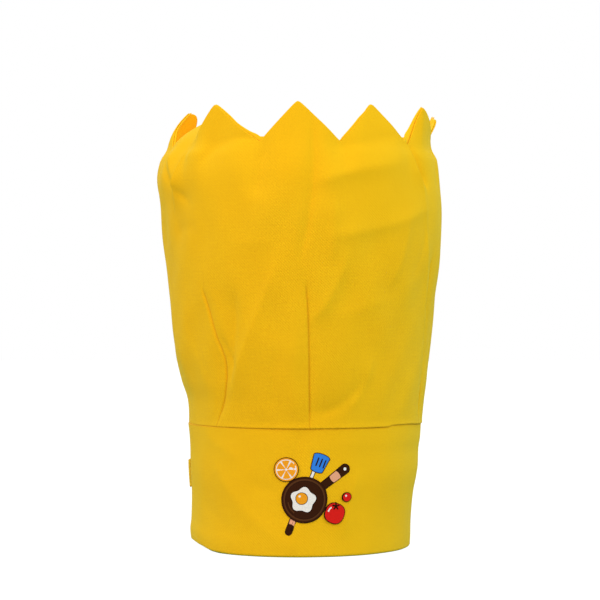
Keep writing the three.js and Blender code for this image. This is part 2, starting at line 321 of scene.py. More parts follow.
def crest(x):
    """A fold's section: a narrow rounded top and long even sides."""
    return np.exp(CREST["round"] - np.hypot(CREST["steep"] * x, CREST["round"]))


def arch(x):
    """A low arch from 0 through 1 in the middle to 0."""
    return 4 * x * (1 - x)


def turn(start, end):
    """The signed turn from one angle to another, from -180 to 180 degrees."""
    return (end - start + 180) % 360 - 180


def read_table(rows, z, column):
    """Smooth, never overshooting interpolation of a column of a table whose rows rise in z."""
    heights, values = rows["z"], rows[column]
    step = np.diff(heights)
    slope = np.diff(values) / step
    product = slope[:-1] * slope[1:]
    total = np.where(product > 0, slope[:-1] + slope[1:], 1)
    inner = np.where(product > 0, 2 * product / total, 0)
    tangent = np.concatenate([slope[:1], inner, slope[-1:]])
    z = np.clip(z, heights[0], heights[-1])
    i = np.clip(np.searchsorted(heights, z, side="right") - 1, 0, len(step) - 1)
    t = (z - heights[i]) / step[i]
    return (
        values[i] * (2 * t**3 - 3 * t**2 + 1)
        + step[i] * tangent[i] * (t**3 - 2 * t**2 + t)
        + values[i + 1] * (3 * t**2 - 2 * t**3)
        + step[i] * tangent[i + 1] * (t**3 - t**2)
    )


def oval_point(rows, angle, z, outwards):
    """The point of an oval section at an angle, moved outwards by that many millimetres."""
    angle, z, outwards = np.broadcast_arrays(angle, z, outwards)
    sine, cosine = np.sin(np.radians(angle)), np.cos(np.radians(angle))
    wide = np.where(sine > 0, read_table(rows, z, "right"), read_table(rows, z, "left"))
    deep = np.where(cosine > 0, read_table(rows, z, "front"), read_table(rows, z, "back"))
    normal = np.stack([sine * deep, -cosine * wide], -1)
    normal /= np.linalg.norm(normal, axis=-1, keepdims=True)
    flat = np.stack([wide * sine, -deep * cosine], -1) + normal * outwards[..., None]
    return np.concatenate([flat, z[..., None].astype(float)], -1)


# Every tenth of a degree round the hat
AROUND = np.linspace(-180, 180, 360 * 10 + 1)


def arc_lengths(rows, z):
    """How far round from the front each angle of AROUND is, in millimetres."""
    ring = oval_point(rows, AROUND, z, 0)
    steps = np.linalg.norm(np.diff(ring, axis=0), axis=1)
    along = np.concatenate([[0], np.cumsum(steps)])
    return along - np.interp(0, AROUND, along)


CROWN_MIDDLE = 190
BAND_MIDDLE = 45
CROWN_ARC = arc_lengths(CROWN_SECTIONS, CROWN_MIDDLE)
BAND_ARC = arc_lengths(BAND_SECTIONS, BAND_MIDDLE)


def arc_between(start, end, arc=CROWN_ARC):
    """The signed way round the cloth from one angle to another, in millimetres."""
    along = np.interp(turn(0, end), AROUND, arc) - np.interp(turn(0, start), AROUND, arc)
    whole = arc[-1] - arc[0]
    return (along + whole / 2) % whole - whole / 2


def way_round(columns, arc, ring):
    """How far along the cloth each column is. A ring ends with its first column again."""
    whole = arc[-1] - arc[0]
    around = np.unwrap(np.interp(turn(0, columns), AROUND, arc), period=whole)
    return np.append(around, around[0] + whole) if ring else around


def rim_points():
    """The points of the rim, with the angles where each starts, ends and has its tip."""
    along = arc_lengths(CROWN_SECTIONS, VALLEY_Z)
    pitch = (along[-1] - along[0]) / POINTS
    middle = (np.arange(POINTS) + 0.5) * pitch
    whole = along[-1] - along[0]
    reached = np.where(middle > along[-1], middle - whole, middle)
    ends = np.interp(reached, along, AROUND) + np.where(middle > along[-1], 360, 0)
    ends = ends + POINT_SHAPES["notch"]
    starts = np.concatenate([[ends[-1] - 360], ends[:-1]])
    tips = (starts + ends) / 2 + POINT_SHAPES["sway"]
    return {**POINT_SHAPES, "from": starts, "to": ends, "tip": tips}


RIM = rim_points()


def rim_at(angle):
    """The rim's point at an angle, the one beyond the nearer valley, whether the edge rises
    there, and how far up the edge the angle is, from 0 to 1."""
    wrapped = RIM["from"][0] + (angle - RIM["from"][0]) % 360
    k = np.clip(np.searchsorted(RIM["to"], wrapped, side="right"), 0, POINTS - 1)
    rising = wrapped < RIM["tip"][k]
    rise = (wrapped - RIM["from"][k]) / (RIM["tip"][k] - RIM["from"][k])
    fall = (RIM["to"][k] - wrapped) / (RIM["to"][k] - RIM["tip"][k])
    beside = (k + np.where(rising, POINTS - 1, 1)) % POINTS
    return k, beside, rising, np.clip(np.where(rising, rise, fall), 0, 1)


def rim_height(angle):
    k, _, rising, up = rim_at(angle)
    bow = np.where(rising, RIM["rise_bow"][k], RIM["fall_bow"][k])
    blunt = RIM["blunt"][k]
    fallen = (np.hypot(1 - up, blunt) - blunt) / (np.hypot(1, blunt) - blunt)
    share = 1 - fallen + bow * arch(up)
    return VALLEY_Z + share * (TIP_Z - RIM["drop"][k] - VALLEY_Z)


def lean_at(angle, z):
    """How far the cloth leans inwards. Neighbours share their lean in the valley between."""
    k, beside, rising, up = rim_at(angle)
    own = (1 + smooth(up, 0, LEAN_SHARED)) / 2
    drop, lean, bend, twist = (
        RIM[name][beside] * (1 - own) + RIM[name][k] * own
        for name in ("drop", "lean", "bend", "twist")
    )
    raised = np.maximum(0, (z - LEAN_FROM) / (TIP_Z - drop - LEAN_FROM))
    side = rising * (1 - up) * smooth(up, 0, TWIST_FULL)
    return lean * raised**bend + twist * side * raised


def dart_parts(angle, z):
    """For each dart: how far the place is to its right, in millimetres, and how much of the
    dart there is at that height, for the soft dent and for the sharp groove."""
    for line in DART_LINES:
        top = line["z"][-1]
        across = arc_between(read_table(line, z, "angle"), angle)
        yield across, smooth(top - z, -DART_FADE, DART_FADE), smooth(top - z, *DART_END)


def dart_relief(angle, z):
    total = 0
    for i, (across, soft, sharp) in enumerate(dart_parts(angle, z)):
        top = DART_LINES[i]["z"][-1]
        wide = GROOVE["wide"] * (1 + GROOVE["flare"] * smooth(z, top - GROOVE["flare_tall"], top))
        total = total - DARTS["depth"][i] * soft * bell(across / DART_WIDE)
        total = total - DARTS["groove"][i] * sharp * bell(across / wide)
        total = total + DARTS["lip"][i] * sharp * bell((across + LIP["off"]) / LIP["wide"])
    return total


def overlap_across(line, height, angle, z):
    """How far inside the overlapping cloth a place is, in millimetres from its edge."""
    return arc_between(read_table(line, z, "angle"), angle) * math.copysign(1, height)


def overlap_relief(angle, z):
    """The steps where one point's cloth lies over the next one's."""
    total = 0
    for line, height, gap, low, high in zip(OVERLAP_LINES, *OVERLAPS.values()):
        across = overlap_across(line, height, angle, z)
        edge = smooth(across, *OVERLAP_EDGE)
        step = abs(height) * edge * np.exp(-np.maximum(across, 0) / OVERLAP_LONG)
        dip = gap * bell((across + OVERLAP_GAP["off"]) / OVERLAP_GAP["wide"])
        total = total + smooth(z, low, high) * (step - dip)
    return total


def swell_relief(angle, z):
    total = 0
    for swell in zip(*SWELLS.values()):
        middle_angle, middle_z, wide, tall, depth = swell
        across = turn(middle_angle, angle) / wide
        total = total + depth * bell(across) * bell((z - middle_z) / tall)
    return total


def crease_relief(angle, z):
    near = bell((z - VALLEY_Z) / VALLEY_CREASE["tall"])
    valleys = RIM["to"].reshape(-1, *[1] * np.ndim(angle))
    across = turn(valleys, angle) / VALLEY_CREASE["wide"]
    return -VALLEY_CREASE["depth"] * bell(across).sum(0) * near


def fold_relief(folds, arc, angle, z):
    """How far folds of the cloth stand out. arc is the cloth's way round."""
    total = 0
    for fold in zip(*folds.values()):
        from_angle, from_z, to_angle, to_z, bow, above, below, height = fold
        run = arc_between(from_angle, to_angle, arc)
        length = math.hypot(run, to_z - from_z)
        right, up = run / length, (to_z - from_z) / length
        dx, dz = arc_between(from_angle, angle, arc), z - from_z
        share = (dx * right + dz * up) / length
        across = dz * right - dx * up - bow * arch(np.clip(share, 0, 1))
        width = np.where(across > 0, above, below)
        ends = smooth(share, *FOLD_END) * smooth(1 - share, *FOLD_END)
        total = total + height * ends * crest(across / width)
    return total


def ripples(angle, z, seed, count, tall, size):
    """Smooth seeded unevenness of cloth, which joins up all the way round."""
    random = np.random.default_rng(seed)
    total = 0
    for _ in range(count):
        waves = random.integers(*RIPPLE_WAVES)
        pitch = random.uniform(*RIPPLE_PITCHES) * tall * random.choice([-1, 1])
        phase = random.uniform(0, 2 * math.pi)
        total = total + np.sin(np.radians(waves * angle) + 2 * math.pi * z / pitch + phase)
    return size * total / math.sqrt(count / 2)


def pucker_relief(angle, z):
    """Small gathers that the stitching pulls beside the darts."""
    total = 0
    for i, (across, _, sharp) in enumerate(dart_parts(angle, z)):
        drift = PUCKER["drift"] * np.sin(z / PUCKER["drift_pitch"] + i)
        beat = np.sin(2 * math.pi * z / PUCKER["pitch"] + drift)
        near = bell((np.abs(across) - PUCKER["off"]) / PUCKER["wide"])
        total = total + PUCKER["height"] * sharp * beat * near
    return total


def seam_shift(angle):
    """How much higher the seam above the headband is at an angle."""
    rise = smooth(angle, SEAM_STEP["from"], SEAM_STEP["to"])
    back = smooth(angle, SEAM_STEP["back_from"], SEAM_STEP["back_to"])
    return SEAM_BASE + SEAM_STEP["height"] * rise * (1 - back)


def rolled(depth, radius):
    """How far in a rolled edge lies, at a depth below its crest."""
    inside = np.clip(radius - depth, 0, radius)
    return radius - np.sqrt(np.maximum(radius**2 - inside**2, 0))


def crown_point(angle, z, inset):
    """A point of the crown's cloth: inset is how far it lies inside the outer face."""
    angle, z = np.broadcast_arrays(angle, z)
    settled = smooth(z, BAND_HEIGHT, BAND_HEIGHT + SEAM_SETTLE)
    relief = dart_relief(angle, z) + swell_relief(angle, z) + crease_relief(angle, z)
    relief = relief + overlap_relief(angle, z)
    relief = relief + fold_relief(FOLDS, CROWN_ARC, angle, z) + pucker_relief(angle, z)
    relief = relief + ripples(angle, z, **CROWN_RIPPLES)
    outwards = relief * settled - lean_at(angle, z) - inset
    outwards = outwards - rolled(z - BAND_HEIGHT, SEAM_RADIUS)
    points = oval_point(CROWN_SECTIONS, angle, z, outwards)
    tucked = oval_point(BAND_SECTIONS, angle, z, -BAND_WALL - GAP - inset)
    points = np.where((z < BAND_HEIGHT)[..., None], tucked, points)
    shifted = 1 - smooth(z, BAND_HEIGHT, BAND_HEIGHT + SEAM_FADE["above"])
    points[..., 2] += seam_shift(angle) * shifted
    return points


def band_point(angle, z, outwards):
    """A point of the headband's cloth, that far outside its outer face."""
    angle, z = np.broadcast_arrays(angle, z)
    relief = ripples(angle, z, **BAND_RIPPLES)
    relief = relief + fold_relief(BAND_FOLDS, BAND_ARC, angle, z)
    edge = rolled(BAND_HEIGHT - z, BAND_RADIUS) + rolled(z, HEM_RADIUS)
    points = oval_point(BAND_SECTIONS, angle, z, relief + lap_rise(angle) + outwards - edge)
    around = turn(0, angle)
    lift = np.interp(around, HEM_LIFTS["angle"], HEM_LIFTS["z"])
    points[..., 2] += lift * (1 - smooth(z, 0, HEM_LIFT_TALL))
    shifted = smooth(z, BAND_HEIGHT - SEAM_FADE["below"], BAND_HEIGHT)
    points[..., 2] += seam_shift(around) * shifted
    return points


def lap_rise(angle):
    """How far the headband's strip has risen over its own under end."""
    return (BAND_WALL + TAPE_WALL + 2 * GAP) * smooth(angle, LAP_RISE_FROM, LAP_RISE_TO)


def seam_shade(angle, z):
    """How much painted shade a place of the crown gets in the seam, along the dart lines and in the
    overlaps, from 0 to 1.
    """
    total = bell((z - BAND_HEIGHT) / SEAM_SHADE)
    shown = OVERLAP_SHADE["depth"] * smooth(z, OVERLAP_SHADE["from"], OVERLAP_SHADE["to"])
    for line, height in zip(OVERLAP_LINES, OVERLAPS["height"]):
        across = overlap_across(line, height, angle, z)
        total = total + shown * bell((across + OVERLAP_SHADE["off"]) / OVERLAP_SHADE["wide"])
    for across, _, sharp in dart_parts(angle, z):
        total = total + sharp * bell(across / DART_SHADE)
    return np.clip(total, 0, 1)


def new_object(name, points, faces, face_uv, shade, material):
    """A smooth mesh with its weave map, in millimetres along the cloth, and its painted shade for
    seams in the seam attribute.
    """
    mesh = bpy.data.meshes.new(name)
    mesh.from_pydata((points * MM).tolist(), [], faces)
    mesh.shade_smooth()
    weave = mesh.uv_layers.new(name="weave")
    weave.data.foreach_set("uv", np.asarray(face_uv, np.float32).ravel())
    seam = mesh.attributes.new("seam", "FLOAT", "POINT")
    seam.data.foreach_set("value", np.asarray(shade, np.float32).ravel())
    mesh.validate()
    made = bpy.data.objects.new(name, mesh)
    bpy.context.scene.collection.objects.link(made)
    made.data.materials.append(material)
    return made


def cloth_wall(name, outer, inner, around, shade, ring, material):
    """A wall of cloth between two skins, each a grid of columns of points that run up, with
    its edges rounded. around is how far along the cloth each column is."""
    columns, rows = outer.shape[:2]

    def turned(edge):
        middle = (outer[:, edge] + inner[:, edge]) / 2
        wall = np.linalg.norm(outer[:, edge] - inner[:, edge], axis=-1)
        middle[:, 2] += EDGE_ROUND * wall * (1 if edge else -1)
        return middle[:, None]

    section = np.concatenate([outer, turned(-1), inner[:, ::-1], turned(0)], 1)
    height = np.concatenate(
        [outer[..., 2], outer[:, -1:, 2], outer[:, ::-1, 2], outer[:, :1, 2]], 1
    )
    dark = np.concatenate([shade, shade[:, -1:], shade[:, ::-1], shade[:, :1]], 1)
    count = section.shape[1]
    spans = columns if ring else columns - 1
    c, s = np.meshgrid(np.arange(spans), np.arange(count), indexing="ij")
    c, s = c.ravel(), s.ravel()
    after, above = (c + 1) % columns, (s + 1) % count
    corners = [(c, s), (after, s), (after, above), (c, above)]
    faces = np.stack([column * count + row for column, row in corners], 1)
    u = np.stack([around[c], around[c + 1], around[c + 1], around[c]], 1)
    v = np.stack([height[column, row] for column, row in corners], 1)
    uv = np.stack([u, v], -1).reshape(-1, 2)
    faces = faces.tolist()
    if not ring:
        base = (columns - 1) * count
        ends = []
        for r in range(rows - 1):
            low, high = count - 2 - r, count - 3 - r
            ends.append([r, r + 1, high, low])
            ends.append([base + r, base + low, base + high, base + r + 1])
        ends.append([rows - 1, rows, rows + 1])
        ends.append([base + rows - 1, base + rows + 1, base + rows])
        ends.append([0, count - 2, count - 1])
        ends.append([base, base + count - 1, base + count - 2])
        flat = [index for face in ends for index in face]
        where = np.repeat(around[:columns], count)[flat]
        uv = np.concatenate([uv, np.stack([where, height.ravel()[flat]], 1)])
        faces += ends
    return new_object(name, section.reshape(-1, 3), faces, uv, dark.ravel(), material)


def point_columns():
    """Column angles that meet every valley and tip, and which of them do."""
    angles, fixed = [], []
    for start, tip, end in zip(RIM["from"], RIM["tip"], RIM["to"]):
        steps = FRONT_STEPS if abs(turn(0, tip)) < FINE_SIDE else REAR_STEPS
        shares = np.arange(steps) / steps
        angles += [start + shares * (tip - start), tip + shares * (end - tip)]
        fixed += [shares == 0, shares == 0]
    return np.concatenate(angles), np.concatenate(fixed)


def crown_columns():
    """The columns of the points, with closer ones along the darts and the overlaps."""
    even, fixed = point_columns()
    extra = []
    lines = [(line, DART_STEPS) for line in DART_LINES]
    lines += [(line, OVERLAP_STEPS) for line in OVERLAP_LINES]
    for line, steps in lines:
        home = home_angle(line)
        per_degree = arc_between(home - 1, home + 1) / 2
        close = home + np.array(steps) / per_degree
        reach = (steps[-1] + COLUMN_CLEAR) / per_degree
        kept = fixed | (np.abs(turn(home, even)) > reach)
        even, fixed = even[kept], fixed[kept]
        extra.append(close)
    low = RIM["from"][0]
    every = np.concatenate([even, *extra])
    return np.sort(low + (every - low) % 360)


def home_angle(line):
    """The angle at which the column that follows a line meets the rim."""
    if line["z"][0] > BAND_HEIGHT:
        return line["angle"][-1]
    return (line["angle"].min() + line["angle"].max()) / 2


def follow_lines(columns, z):
    """The angle of each column at each height, bent so that columns run along the darts and the
    overlaps."""
    angle = np.array(columns, float)
    shifted = angle.copy()
    for line in DART_LINES:
        home = home_angle(line)
        offset = read_table(line, z, "angle") - home
        fade = 1 - smooth(z, line["z"][-1], line["z"][-1] + DART_FOLLOW["tall"])
        shifted = shifted + offset * fade * bell(turn(home, angle) / DART_FOLLOW["wide"])
    for line, fade_from, fade_to in zip(OVERLAP_LINES, OVERLAPS["fade_from"], OVERLAPS["fade_to"]):
        home = home_angle(line)
        offset = read_table(line, z, "angle") - home
        shown = smooth(z, fade_from - OVERLAP_FOLLOW["tall"], fade_to)
        shifted = shifted + offset * shown * bell(turn(home, angle) / OVERLAP_FOLLOW["wide"])
    return shifted


def crown_heights():
    """The level rows of the crown, closer together at the seam."""
    tucked = BAND_HEIGHT - np.array(TUCKED_ROWS)
    seam = BAND_HEIGHT + np.array(SEAM_ROWS)
    low = BAND_HEIGHT + LEVEL_FROM
    count = round((PANEL_Z - low) / LEVEL_STEP)
    return np.concatenate([tucked, seam, np.linspace(low, PANEL_Z, count + 1)])


def grid_to_rim(levels, columns, tip_rows, peek=0):
    """Angles and heights of rows that are level up to the last one, then follow the rim."""
    levels = np.asarray(levels, float)
    z = np.repeat(levels[None], len(columns), 0)
    angle = follow_lines(columns[:, None], z)
    top = rim_height(columns) + peek
    share = 1 - (1 - (np.arange(tip_rows) + 1) / tip_rows) ** TIP_CLOSER
    rising = levels[-1] + share[None] * (top - levels[-1])[:, None]
    angle = np.concatenate([angle, follow_lines(columns[:, None], rising)], 1)
    return angle, np.concatenate([z, rising], 1)


def facing_peek(angle):
    return FACING_PEEK + np.interp(turn(0, angle), PEEKS["angle"], PEEKS["z"])


def crown_object(material):
    columns = crown_columns()
    angle, z = grid_to_rim(crown_heights(), columns, TIP_ROWS)
    around = way_round(columns, CROWN_ARC, ring=True)
    # Painted shade in the seam, along the dart lines and in the overlaps
    shade = seam_shade(angle, z)
    outer, inner = crown_point(angle, z, 0), crown_point(angle, z, CLOTH_WALL)
    return cloth_wall("crown_cloth", outer, inner, around, shade, True, material)


def facing_object(material):
    columns, _ = point_columns()
    levels = np.linspace(FACING_FOOT, PANEL_Z, FACING_ROWS)
    peek = facing_peek(columns)
    angle, z = grid_to_rim(levels, columns, FACING_TIP_ROWS, peek)
    around = way_round(columns, CROWN_ARC, ring=True)
    # Painted shade at the foot of the strip that stands above the crown's edge
    above = z - rim_height(columns)[:, None]
    shown = smooth(peek, PEEK_SHADE["from"], PEEK_SHADE["to"])[:, None]
    shade = shown * bell((above - PEEK_SHADE["up"]) / PEEK_SHADE["wide"])
    inset = CLOTH_WALL + GAP
    outer = crown_point(angle, z, inset)
    inner = crown_point(angle, z, inset + FACING_WALL)
    return cloth_wall("facing_cloth", outer, inner, around, shade, True, material)


def panel_object(material):
    """The round cloth that closes the crown, a shallow dish with its edge turned down."""
    columns = np.linspace(-180, 180, PANEL_COLUMNS, endpoint=False)
    inset = CLOTH_WALL + GAP + FACING_WALL + GAP
    shares = np.linspace(0, 1, PANEL_RINGS)

    def skin(lower):
        edge, foot = (
            crown_point(columns, z, inset + lower) for z in (PANEL_Z, PANEL_Z - PANEL_FLANGE)
        )
        dish = edge[:, None, :] * np.array([1, 1, 0])[None, None] * shares[None, :, None]
        dish[..., 2] = PANEL_Z - PANEL_SAG * (1 - shares[None] ** 2) - lower
        wave = ripples(columns[:, None], dish[..., 2] * PANEL_RIPPLE_RISE, **PANEL_RIPPLES)
        dish[..., 2] += wave * np.sin(math.pi * shares[None]) ** 2
        return np.concatenate([dish, foot[:, None]], 1)

    upper, lower = skin(0), skin(CLOTH_WALL)
    section = np.concatenate([upper[:, 1:], lower[:, :0:-1]], 1)
    count, sides = section.shape[1], len(columns)
    points = np.concatenate(
        [section.reshape(-1, 3), upper[:1, 0] * [0, 0, 1], lower[:1, 0] * [0, 0, 1]]
    )
    faces = []
    for c in range(sides):
        a, b = c * count, (c + 1) % sides * count
        for s in range(count - 1):
            faces.append([a + s, a + s + 1, b + s + 1, b + s])
        faces.append([a, b, sides * count])
        faces.append([b + count - 1, a + count - 1, sides * count + 1])
    loops = np.array([index for face in faces for index in face])
    return new_object(
        "top_cloth", points, faces, points[loops, :2], np.zeros(len(points)), material
    )


def headband_object(material):
    even = np.linspace(UNDER_END, OVER_END, round((OVER_END - UNDER_END) / BAND_STEP))
    close = np.arange(SEAM_STEP["from"], SEAM_STEP["to"], BAND_CLOSE_STEP)
    columns = np.sort(np.concatenate([even, close]))
    edge = np.array(BAND_EDGE_ROWS)
    middle = np.linspace(BAND_ROWS_FROM, BAND_HEIGHT - BAND_ROWS_FROM, BAND_ROWS)
    rows = np.concatenate([edge, middle, (BAND_HEIGHT - edge)[::-1]])
    angle, z = np.meshgrid(columns, rows, indexing="ij")
    around = way_round(columns, BAND_ARC, ring=False)
    # Painted shade along the seam at the headband's top edge
    shade = bell((z - BAND_HEIGHT) / SEAM_SHADE)
    outer, inner = band_point(angle, z, 0), band_point(angle, z, -BAND_WALL)
    return cloth_wall("headband_cloth", outer, inner, around, shade, False, material)


def tape_object(material):
    columns = np.linspace(TAPE_FROM, TAPE_TO, TAPE_COLUMNS)
    rows = np.linspace(TAPE_FOOT, TAPE_FOOT + TAPE_HEIGHT, TAPE_ROWS)
    angle, z = np.meshgrid(columns, rows, indexing="ij")
    around = way_round(columns, BAND_ARC, ring=False)
    outer, inner = band_point(angle, z, GAP + TAPE_WALL), band_point(angle, z, GAP)
    return cloth_wall("tape", outer, inner, around, 0 * z, False, material)


# The print: generic kitchen things, drawn flat in millimetres right and up from its middle
PRINT_ANGLE = 6.3
PRINT_Z = 44.5
INK_RISE = 0.1
INK_LAYER = 0.03
INK_ROOT = 0.25
INK_MESH = 2.4
INK_MERGE = 1e-6


def disc(x, y, radius, waves=0, depth=0.0, phase=0.0, count=56):
    """A round outline, with that many waves of that depth in its edge."""
    t = np.arange(count) * 2 * math.pi / count
    r = radius + depth * np.sin(waves * t + math.radians(phase))
    return np.stack([x + r * np.cos(t), y + r * np.sin(t)], 1)


def bar(x, y, aim, long, wide, end_wide=None, round_off=1.0, count=11):
    """A bar from a place along an aim in degrees. Its ends are half discs, flatter for a smaller
    round_off."""
    end_wide = wide if end_wide is None else end_wide
    t = np.linspace(-math.pi / 2, math.pi / 2, count)
    far = np.stack([long + round_off * end_wide / 2 * np.cos(t), end_wide / 2 * np.sin(t)], 1)
    near = np.stack([-round_off * wide / 2 * np.cos(t), -wide / 2 * np.sin(t)], 1)
    points = np.concatenate([far, near])
    a = math.radians(aim)
    turned = np.array([[math.cos(a), math.sin(a)], [-math.sin(a), math.cos(a)]])
    return points @ turned + [x, y]


def wedge(x, y, start, end, inner, outer, count=9):
    """A piece of a ring between two angles in degrees."""
    t = np.radians(np.linspace(start, end, count))
    far = np.stack([np.cos(t), np.sin(t)], 1) * outer
    near = np.stack([np.cos(t[::-1]), np.sin(t[::-1])], 1) * inner
    return np.concatenate([far, near]) + [x, y]


def grown(outline, by):
    """An outline moved outwards everywhere."""
    ahead = np.roll(outline, -1, 0) - np.roll(outline, 1, 0)
    ahead /= np.linalg.norm(ahead, axis=1, keepdims=True)
    return outline + by * np.stack([ahead[:, 1], -ahead[:, 0]], 1)


def print_shapes():
    """Inks and outlines from the lowest layer to the highest. Each one's dark edge is so wide."""
    lean = 69
    across = {"x": -0.93, "y": 0.36}
    pan = {"x": -5, "y": -5}
    handle = {"aim": 37}
    slice_at = {"x": -17.5, "y": 16}
    tomato = {"x": 16.5, "y": -14.5}
    shapes = [
        ("pink", 0.5, bar(x=-15.5, y=-25.5, aim=lean, long=12, wide=4)),
        ("brown", 0.4, bar(x=-16, y=-27, aim=lean, long=3, wide=4.4)),
        ("white", 0.5, bar(x=-1.5, y=8, aim=lean, long=8, wide=1.8)),
        ("blue", 0.55, bar(x=3, y=15.5, aim=lean, long=10, wide=8, end_wide=11, round_off=0.3)),
    ]
    for side in (-2.6, 0, 2.6):
        slot = {"x": 4.9 + across["x"] * side, "y": 18 + across["y"] * side}
        shapes.append(("dark", 0, bar(**slot, aim=lean, long=5.4, wide=0.9)))
    shapes += [
        ("brown", 0.5, bar(x=7, y=4, **handle, long=20, wide=5, end_wide=6.4)),
        ("pink", 0.4, bar(x=13.8, y=9.2, **handle, long=5, wide=5.4, end_wide=5.9, round_off=0.35)),
        ("white", 0.3, disc(x=22.8, y=16, radius=1.1)),
        ("brown", 0.5, disc(**pan, radius=15.6)),
        ("rim", 0, disc(**pan, radius=14.6)),
        ("dark", 0, disc(**pan, radius=13.4)),
        ("brown", 0, disc(**pan, radius=13)),
        ("rim", 0, wedge(**pan, start=188, end=232, inner=11, outer=11.8)),
        ("white", 0.5, disc(x=-6, y=-5, radius=8.2, waves=5, depth=0.9, phase=40)),
        ("orange", 0.4, disc(x=-7, y=-4, radius=3.9)),
        ("white", 0, disc(x=-8.4, y=-2.5, radius=0.8)),
        ("orange", 0.5, disc(**slice_at, radius=8)),
        ("white", 0, disc(**slice_at, radius=7)),
    ]
    for start in range(10, 370, 60):
        piece = wedge(**slice_at, start=start, end=start + 48, inner=0.9, outer=6.4)
        shapes.append(("orange", 0, piece))
    shapes += [
        ("red", 0.5, disc(**tomato, radius=7, waves=4, depth=0.25)),
        ("white", 0, wedge(**tomato, start=120, end=165, inner=4.4, outer=5.4)),
        ("dark", 0, disc(x=17.2, y=-9.6, radius=1.9, waves=5, depth=0.9)),
        ("red", 0.45, disc(x=25, y=-3.5, radius=2.9)),
        ("white", 0, disc(x=24.2, y=-2.5, radius=0.7)),
    ]
    return shapes


def inked(outline, top, low):
    """A thin closed block of ink with that outline on the headband. Gives points and faces."""
    count = len(outline)
    x0, y0 = outline.min(0)
    x1, y1 = outline.max(0)
    gx, gy = np.meshgrid(np.arange(x0, x1, INK_MESH), np.arange(y0, y1, INK_MESH))
    inner = np.stack([gx.ravel(), gy.ravel()], 1)
    ahead = np.roll(outline, -1, 0)
    above = (outline[:, 1] > inner[:, 1:2]) != (ahead[:, 1] > inner[:, 1:2])
    rise = ahead[:, 1] - outline[:, 1]
    share = (inner[:, 1:2] - outline[:, 1]) / np.where(rise == 0, 1, rise)
    crossed = above & (inner[:, :1] < outline[:, 0] + share * (ahead[:, 0] - outline[:, 0]))
    clear = np.linalg.norm(inner[:, None] - outline[None], axis=-1).min(1) > INK_MESH / 3
    inner = inner[(crossed.sum(1) % 2 == 1) & clear]
    flat = [Vector(point) for point in np.concatenate([outline, inner]).tolist()]
    flat, _, tops, *_ = delaunay_2d_cdt(flat, [], [list(range(count))], 1, INK_MERGE)
    flat = np.array([list(point) for point in flat])
    home = np.interp(PRINT_ANGLE, AROUND, BAND_ARC)
    angle = np.interp(home + flat[:, 0], BAND_ARC, AROUND)
    upper = band_point(angle, PRINT_Z + flat[:, 1], top)
    lower = band_point(angle, PRINT_Z + flat[:, 1], low)
    base = len(flat)
    faces = [list(face) for face in tops]
    faces += [[base + index for index in reversed(face)] for face in tops]
    edge = np.arange(count)
    after = (edge + 1) % count
    faces += np.stack([edge, edge + base, after + base, after], 1).tolist()
    return np.concatenate([upper, lower]), faces, np.concatenate([flat, flat])


def print_object(inks):
    """The print as one object, with a material for each ink."""
    points, faces, flat, used = [], [], [], []
    names = list(inks)
    count = 0
    layer = INK_RISE
    for ink, edge, outline in print_shapes():
        blocks = [("dark", grown(outline, edge)), (ink, outline)] if edge else [(ink, outline)]
        for name, shape in blocks:
            block, sides, place = inked(shape, layer, -INK_ROOT)
            points.append(block)
            flat.append(place)
            faces += [[count + index for index in face] for face in sides]
            used += [names.index(name)] * len(sides)
            count += len(block)
            layer += INK_LAYER
    flat = np.concatenate(flat) + [np.interp(PRINT_ANGLE, AROUND, BAND_ARC), PRINT_Z]
    loops = np.array([index for face in faces for index in face])
    made = new_object(
        "front_print", np.concatenate(points), faces, flat[loops], np.zeros(count), inks[names[0]]
    )
    made.data.shade_flat()
    for name in names[1:]:
        made.data.materials.append(inks[name])
    made.data.polygons.foreach_set("material_index", used)
    return made


class Nodes:
    """A short way to write a material's nodes. An input is a number, a colour or a socket."""

    def __init__(self, name):
        self.material = bpy.data.materials.new(name)
        self.material.use_nodes = True
        self.tree = self.material.node_tree
        self.shader = self.tree.nodes["Principled BSDF"]

    def link(self, value, socket):
        if isinstance(value, bpy.types.NodeSocket):
            self.tree.links.new(value, socket)
        else:
            socket.default_value = value

    def add(self, kind, inputs=(), output=0, **settings):
        node = self.tree.nodes.new("ShaderNode" + kind)
        for key, value in settings.items():
            setattr(node, key, value)
        for key, value in dict(inputs).items():
            self.link(value, node.inputs[key])
        return node.outputs[output]

    def math(self, operation, a, b=0.0, c=0.0):
        return self.add("Math", {0: a, 1: b, 2: c}, operation=operation)

    def mix(self, share, a, b):
        return self.add("Mix", {0: share, 6: a, 7: b}, output=2, data_type="RGBA")

    def noise(self, vector, scale, detail=2.0, roughness=0.5):
        inputs = {"Vector": vector, "Scale": scale, "Detail": detail, "Roughness": roughness}
        return self.add("TexNoise", inputs)

    def scaled(self, vector, x, y):
        return self.add("VectorMath", {0: vector, 1: (x, y, 1.0)}, operation="MULTIPLY")

    def ranged(self, value, start, end, low, high):
        return self.add("MapRange", {0: value, 1: start, 2: end, 3: low, 4: high})

    def bumped(self, height, strength, distance):
        inputs = {"Strength": strength, "Distance": distance, "Height": height}
        self.link(self.add("Bump", inputs), self.shader.inputs["Normal"])

    def set(self, **values):
        """Even values of the shader, named as its sockets are, with _ for each space."""
        for key, value in values.items():
            self.shader.inputs[key.replace("_", " ")].default_value = value


def grey(value):
    return (value, value, value, 1)


